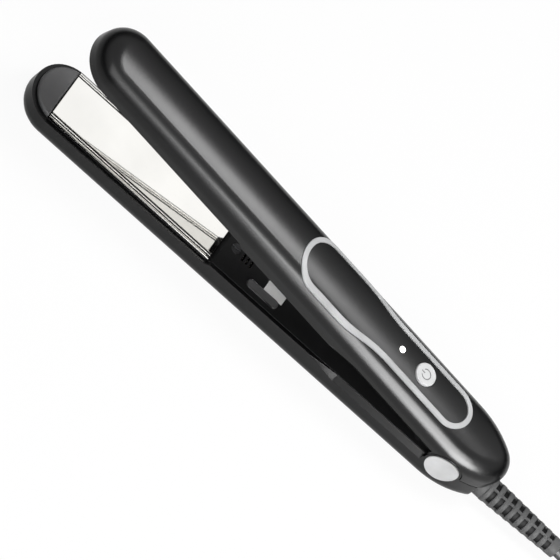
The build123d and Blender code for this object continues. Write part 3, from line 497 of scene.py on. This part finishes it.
# Circuit board: lacquered glass laminate, screwed to two posts of the upper frame under the panel.
# It carries the switch, the lamp, the fuse, the capacitor and the triac.
board_green = finish_of(
    "board_green", drawn_metal,
    {"Color": (0.03, 0.16, 0.08, 1.0), "Stretch": (60.0, 600.0, 600.0), "Roughness": 0.35, "Spread": 0.3},
    bump_depth=0.00003, shader_values={},
)
dress(board_green, "circuit_board")
dress(spring_steel, "board_screws")
component_black = finish_of(
    "component_black", moulded_skin,
    {"Color": (0.03, 0.03, 0.034, 1.0), "Grain": 1800.0, "Roughness": 0.45, "Handling": 0.2},
    bump_depth=0.00002, shader_values={},
)
dress(component_black, "tact_switch", "capacitor", "board_fuse", "triac")

# Trim ring: a thin closed teardrop band that lines the panel's opening in the upper casing
# and stands a little proud of it, painted a slightly darker silver than the caps.
ring_silver = finish_of(
    "ring_silver", moulded_skin,
    {"Color": (0.48, 0.484, 0.488, 1.0), "Grain": 5200.0, "Roughness": 0.5, "Handling": 0.12},
    bump_depth=0.000004, shader_values={"Specular IOR Level": 0.06},
)
dress(ring_silver, "trim_ring")

# Control panel: a separate teardrop moulding let into the upper casing inside the silver ring,
# in the same satin plastic with a slightly softer shine.
panel_black = finish_of(
    "panel_black", moulded_skin,
    {"Color": (0.005, 0.0051, 0.0053, 1.0), "Grain": 2600.0, "Roughness": 0.3, "Handling": 0.05},
    bump_depth=0.00001, shader_values={"Specular IOR Level": 0.25},
)
dress(panel_black, "control_panel")

# Power button: a silver-painted cap with a shallow dish and a rounded rim, on a flange under the panel
# and a silicone boot over the switch. The ring and bar sign on it is raised a hair and printed grey.


def turned_profile(bm, points, centre, axis, steps):
    line = [bm.verts.new(Vector(centre) + Vector(point)) for point in points]
    edges = [bm.edges.new(pair) for pair in zip(line, line[1:])]
    bmesh.ops.spin(
        bm, geom=line + edges, cent=centre, axis=axis, dvec=(0.0, 0.0, 0.0), angle=math.tau, steps=steps,
        use_merge=True, use_duplicate=False,
    )


button_x = -0.03658
button_centre = (button_x, 0.0, 0.0)
dish = [(0.0, 0.0166), (0.0018, 0.01662), (0.0034, 0.01669), (0.0042, 0.01677)]
button_rim = [(0.0046, 0.0168), (0.00495, 0.01673), (0.00515, 0.01654), (0.0052, 0.0163)]
flange = [(0.0052, 0.01225), (0.0062, 0.01225), (0.0062, 0.01125), (0.0, 0.01125)]
button_line = [(radius, 0.0, z) for radius, z in dish + button_rim + flange]
button_bm = bmesh.new()
turned_profile(button_bm, button_line, button_centre, (0.0, 0.0, 1.0), 64)
power_button = piece_from("power_button_cap", button_bm, upper_place, satin_silver)
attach(power_button, "button")
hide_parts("power_button")
dress(satin_silver, "power_button")
dress(silicone, "button_boot")
sign_inner, sign_outer = 0.00205, 0.00250
sign_floor, sign_top = 0.01660, 0.01669
sign_start, sign_sweep = math.radians(215.0), math.radians(290.0)
sign_bar = (0.0019, 0.00045, 0.00009)
bar_centre = (button_x - 0.0018, 0.0, 0.016645)
sign_bm = bmesh.new()
rim = [(sign_inner, sign_floor), (sign_outer, sign_floor), (sign_outer, sign_top), (sign_inner, sign_top)]
rim_face = sign_bm.faces.new([sign_bm.verts.new((button_x + x, 0.0, z)) for x, z in rim])
bmesh.ops.rotate(
    sign_bm, cent=button_centre, matrix=Matrix.Rotation(sign_start, 3, "Z"), verts=sign_bm.verts
)
bmesh.ops.spin(
    sign_bm, geom=[rim_face], cent=button_centre, axis=(0.0, 0.0, 1.0), dvec=(0.0, 0.0, 0.0),
    angle=sign_sweep, steps=40, use_merge=False, use_duplicate=False,
)
bar = bmesh.ops.create_cube(sign_bm, size=1.0)["verts"]
bmesh.ops.scale(sign_bm, vec=sign_bar, verts=bar)
bmesh.ops.translate(sign_bm, vec=bar_centre, verts=bar)
sign_grey = finish_of(
    "sign_grey", moulded_skin,
    {"Color": (0.16, 0.16, 0.165, 1.0), "Grain": 3000.0, "Roughness": 0.5, "Handling": 0.1},
    bump_depth=0.000004, shader_values={},
)
power_sign = piece_from("power_sign", sign_bm, upper_place, sign_grey)
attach(power_sign, "button")

# Indicator: a short clear moulded rod in a hole of the panel.
# The small lamp on the board lights it from below.
lens_lit = finish_of(
    "lens_lit", moulded_skin,
    {"Color": (0.9, 0.93, 0.95, 1.0), "Grain": 1500.0, "Roughness": 0.15, "Handling": 0.05},
    bump_depth=0.000004, shader_values={"Emission Color": (1.0, 0.98, 0.95, 1.0), "Emission Strength": 3.0},
)
dress(lens_lit, "indicator_lens", "indicator_lamp")

# Swivel bush: a plain moulded nylon ring in the tail wall of the lower casing, in which the neck
# of the cord guard turns. A moulded black cover closes the tail over it.
nylon = finish_of(
    "nylon", moulded_skin,
    {"Color": (0.05, 0.05, 0.052, 1.0), "Grain": 1800.0, "Roughness": 0.45, "Handling": 0.15},
    bump_depth=0.00003, shader_values={},
)
dress(nylon, "swivel_bush")
dress(frame_black, "swivel_cover")

# Cord guard: soft black rubber, nine rounded rings that shrink towards the cord, joined by four webs.
# A collar and a retainer hold it in the swivel, and a near-black core over the slot floors is painted shade
# in the slots.
guard_line = (0.0, 0.0, 0.0070)
guard_start = 0.1111
guard_pitch = 0.0045
ring_count = 9
ring_width = 0.0024
ring_radius = 0.0061
ring_root = 0.0031
taper, taper_length = 0.0018, 0.0405
edge = 0.0004
web_width, web_reach, web_foot, web_drop = 0.0011, 0.0025, 0.0030, 0.0002
web_middle = 0.00095
web_turn = 19.0
retainer = [(0.1007, 0.0), (0.1007, 0.0048), (0.1023, 0.0048)]
neck = [(0.1023, 0.0036), (0.1065, 0.0036)]
collar = [(0.1065, 0.0056), (0.1068, 0.0059), (0.1108, 0.0059)]
outline = retainer + neck + collar
for ring in range(ring_count):
    start = guard_start + guard_pitch * ring
    end = start + (ring_width if ring < ring_count - 1 else guard_pitch)
    outline += [(start, ring_root)] if ring else []
    for x, drop in (
        (start, edge), (start + 0.3 * edge, 0.3 * edge), (start + edge, 0.0),
        (end - edge, 0.0), (end - 0.3 * edge, 0.3 * edge), (end, edge),
    ):
        outline.append((x, ring_radius - taper * (x - guard_start) / taper_length - drop))
    outline.append((end, ring_root))
guard_bm = bmesh.new()
turned_profile(guard_bm, [(x, 0.0, radius) for x, radius in outline], guard_line, (1.0, 0.0, 0.0), 56)
for slot in range(ring_count - 1):
    start = guard_start + guard_pitch * slot + ring_width
    top = ring_radius - web_drop - taper * (start - guard_start) / taper_length
    for quarter in range(4):
        turned_by = Matrix.Rotation(math.radians(web_turn + 90.0 * quarter), 3, "X")
        web = bmesh.ops.create_cube(guard_bm, size=1.0)["verts"]
        bmesh.ops.scale(guard_bm, vec=(web_reach, web_width, top - web_foot), verts=web)
        bmesh.ops.translate(guard_bm, vec=(start + web_middle, 0.0, (top + web_foot) / 2.0), verts=web)
        bmesh.ops.rotate(guard_bm, cent=(0.0, 0.0, 0.0), matrix=turned_by, verts=web)
        bmesh.ops.translate(guard_bm, vec=guard_line, verts=web)
guard_black = finish_of(
    "guard_black", moulded_skin,
    {"Color": (0.105, 0.1055, 0.106, 1.0), "Grain": 2000.0, "Roughness": 0.55, "Handling": 0.15},
    bump_depth=0.00002, shader_values={"Specular IOR Level": 0.1},
)
guard = piece_from("cord_guard_rings", guard_bm, Matrix(), guard_black)
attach(guard, "swivel")
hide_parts("cord_guard")
dress(guard_black, "cord_guard")
# Painted shade: a near-black core, darker than the rubber, covers the floors of the slots where shade falls.
core_bm = bmesh.new()
core_line = [(0.1113, 0.0, 0.0), (0.1113, 0.0, 0.0050), (0.1512, 0.0, 0.0035), (0.1512, 0.0, 0.0)]
turned_profile(core_bm, core_line, guard_line, (1.0, 0.0, 0.0), 40)
core_painted_shade = finish_of(
    "core_painted_shade", moulded_skin,
    {"Color": (0.002, 0.002, 0.0021, 1.0), "Grain": 1800.0, "Roughness": 0.6, "Handling": 0.1},
    bump_depth=0.00002, shader_values={"Specular IOR Level": 0.1},
)
core = piece_from("guard_core_painted_shade", core_bm, Matrix(), core_painted_shade)
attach(core, "swivel")

# Cord: 1.7 m of round rubber cord. It leaves the guard level, comes down to the table and lies folded
# in a hank of twelve runs in four layers, drawn in at the waist by the tie, with the plug on top.
hank = Vector((0.2536, 0.0125, 0.0031))
fold_reach = 0.033
waist_in = 0.006
waist_up = 0.0017
layer_up = 0.0066
loops = [0.02675, 0.02325, 0.01975, 0.01625, 0.01975, 0.02325] * 2
last_run = len(loops) - 1
last_loop = 0.010
fold_pull = 0.966
cord_radius = 0.003
cord_points = [Vector((0.1516, 0.0, 0.0070)), Vector((0.16924, 0.0, 0.0070))]
cord_points += [Vector((0.19444, -0.01425, 0.0031)), Vector((0.2146, -0.01425, 0.0031))]
for run, loop in enumerate(loops):
    side = -1.0 if run % 2 == 0 else 1.0
    layer = run // 3
    end_z = hank.z + layer_up * (4 if run == last_run else layer)
    start_z = hank.z + layer_up * (layer - 1 if run in (3, 6, 9) else layer)
    for step in range(5):
        share = step / 4.0
        drawn_in = 1.0 - abs(share - 0.5) * 2.0
        climbed = max(0.0, share * 2.0 - 1.0) if run == last_run else share
        cord_points.append(
            Vector((
                hank.x + side * fold_reach * (1.0 - 2.0 * share),
                hank.y + side * (loop - waist_in * drawn_in),
                start_z + (end_z - start_z) * climbed + waist_up * drawn_in,
            ))
        )
    next_loop = loops[run + 1] if run < last_run else last_loop
    fold = (loop + next_loop) / 2.0
    for step in range(1, 6):
        angle = math.radians(30.0 * step)
        cord_points.append(
            Vector((
                hank.x - side * (fold_reach + fold / fold_pull * math.sin(angle)),
                hank.y + side * ((loop - next_loop) / 2.0 + fold / fold_pull * math.cos(angle)),
                end_z,
            ))
        )
cord_points += [Vector((0.2206, 0.0025, 0.0295)), Vector((0.2316, 0.0025, 0.0300))]
cord_points += [Vector((0.2446, 0.0092, 0.0326)), Vector((0.2526, 0.0095, 0.03285))]
cord_points += [Vector((0.2590, 0.0095, 0.03285))]
cord_curve = bpy.data.curves.new("power_cord_run", "CURVE")
cord_curve.dimensions = "3D"
cord_curve.bevel_depth = cord_radius
cord_curve.bevel_resolution = 5
cord_curve.resolution_u = 4
cord_curve.use_fill_caps = True
cord_line = cord_curve.splines.new("NURBS")
cord_line.points.add(len(cord_points) - 1)
for knot, point in zip(cord_line.points, cord_points):
    knot.co = (*point, 1.0)
cord_line.order_u = 3
cord_line.use_endpoint_u = True
cord_black = finish_of(
    "cord_black", moulded_skin,
    {"Color": (0.016, 0.016, 0.0165, 1.0), "Grain": 1500.0, "Roughness": 0.48, "Handling": 0.2},
    bump_depth=0.00004, shader_values={"Specular IOR Level": 0.4},
)
cord_curve.materials.append(cord_black)
cord_piece = bpy.data.objects.new("power_cord_run", cord_curve)
scene.collection.objects.link(cord_piece)
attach(cord_piece, "lower_arm")
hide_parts("power_cord", "cord_hank")
dress(cord_black, "power_cord", "cord_hank")

# Tie: a flat strap of black hook and loop tape, woven in nylon,
# closed round the waist of the hank.
tie_size = (0.008, 0.0446, 0.0264)
tie_rounding = 0.005
tie_wall = 0.0011
tie_place = Matrix.Translation((hank.x, 0.01075, 0.0147))
tie_bm = bmesh.new()
bmesh.ops.create_cube(tie_bm, size=1.0)
bmesh.ops.scale(tie_bm, vec=tie_size, verts=tie_bm.verts)
long_edges = [e for e in tie_bm.edges if abs(e.verts[0].co.x - e.verts[1].co.x) > tie_size[0] / 2.0]
bmesh.ops.bevel(
    tie_bm, geom=long_edges, offset=tie_rounding, offset_type="OFFSET", affect="EDGES", segments=6,
    profile=0.5, material=-1,
)
ends = [f for f in tie_bm.faces if abs(f.normal.x) > 0.9]
bmesh.ops.delete(tie_bm, geom=ends, context="FACES_ONLY")
tie_nylon = finish_of(
    "tie_nylon", drawn_metal,
    {
        "Color": (0.02, 0.02, 0.021, 1.0), "Stretch": (3000.0, 1500.0, 1500.0), "Roughness": 0.8,
        "Spread": 0.2,
    },
    bump_depth=0.0002, shader_values={"Sheen Weight": 0.2},
)
tie = piece_from("hank_tie", tie_bm, tie_place, tie_nylon)
wall = tie.modifiers.new("wall", "SOLIDIFY")
wall.thickness = tie_wall
wall.offset = 1.0
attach(tie, "lower_arm")
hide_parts("cord_tie")
dress(tie_nylon, "cord_tie")

# Plug: a flat two-pin plug moulded on the end of the cord in black rubber,
# with two round nickelled brass pins.
plug_black = finish_of(
    "plug_black", moulded_skin,
    {"Color": (0.018, 0.018, 0.019, 1.0), "Grain": 1300.0, "Roughness": 0.5, "Handling": 0.15},
    bump_depth=0.00005, shader_values={"Specular IOR Level": 0.4},
)
dress(plug_black, "plug_body")
pin_nickel = finish_of(
    "pin_nickel", drawn_metal,
    {"Color": (0.62, 0.61, 0.58, 1.0), "Roughness": 0.25, "Spread": 0.15},
    bump_depth=0.000004, shader_values={"Metallic": 1.0},
)
dress(pin_nickel, "plug_pins")
